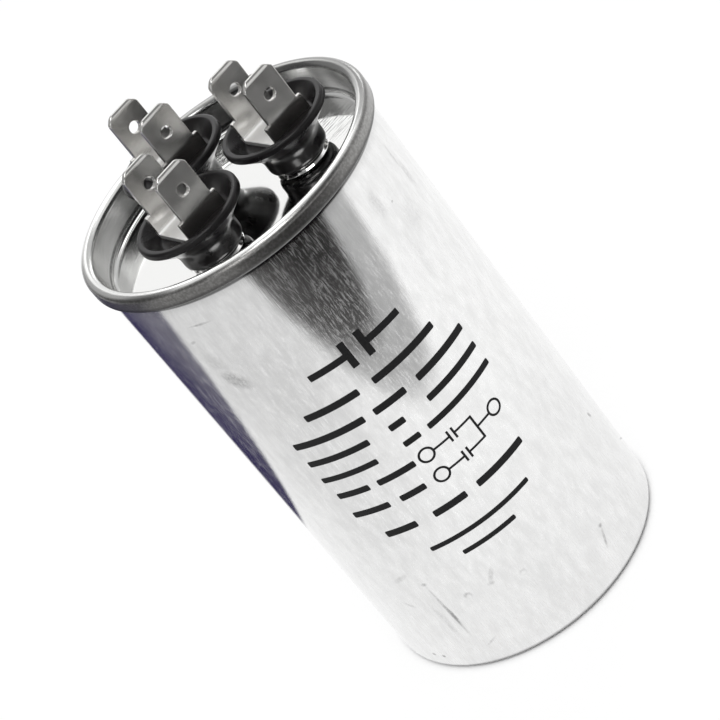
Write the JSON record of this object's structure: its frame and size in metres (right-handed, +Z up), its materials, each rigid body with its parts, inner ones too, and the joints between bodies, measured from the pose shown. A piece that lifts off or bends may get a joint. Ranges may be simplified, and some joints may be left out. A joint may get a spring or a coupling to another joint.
{
  "type": "capacitor",
  "caption": "Round aluminium-can motor run capacitor with a rolled rim, a recessed bright lid and black cups that carry folded double quick-connect tabs.",
  "frame": {"origin": "middle of the flat base of the can", "axes": "+Z up along the can axis, +X along the width of the tab blades, the single rear terminal towards +Y"},
  "size_m": [0.0526, 0.0526, 0.1022],
  "materials": {
    "can_aluminium": "drawn, fine streaks along the axis, lightly scuffed",
    "lid_sheet": "bright tinned sheet, mirror-like panel, satin rim, fine scratches",
    "cup_plastic": "black moulded, soft gloss",
    "tab_tin": "tinned, satin, bright cut edges",
    "rivet_metal": "tinned, satin",
    "print_ink": "black ink printed on the can, matt",
    "washer_fibre": "pressed fibre"
  },
  "bodies": {
    "root": {"can": "can_aluminium", "lid": "lid_sheet", "cup_front_left": "cup_plastic", "cup_front_right": "cup_plastic", "cup_rear": "cup_plastic", "tab_front_left": "tab_tin", "tab_front_right": "tab_tin", "tab_rear": "tab_tin", "rivet_front_left": "rivet_metal", "rivet_front_right": "rivet_metal", "rivet_rear": "rivet_metal", "washer_front_left": "washer_fibre", "washer_front_right": "washer_fibre", "washer_rear": "washer_fibre"}
  },
  "joints": []
}
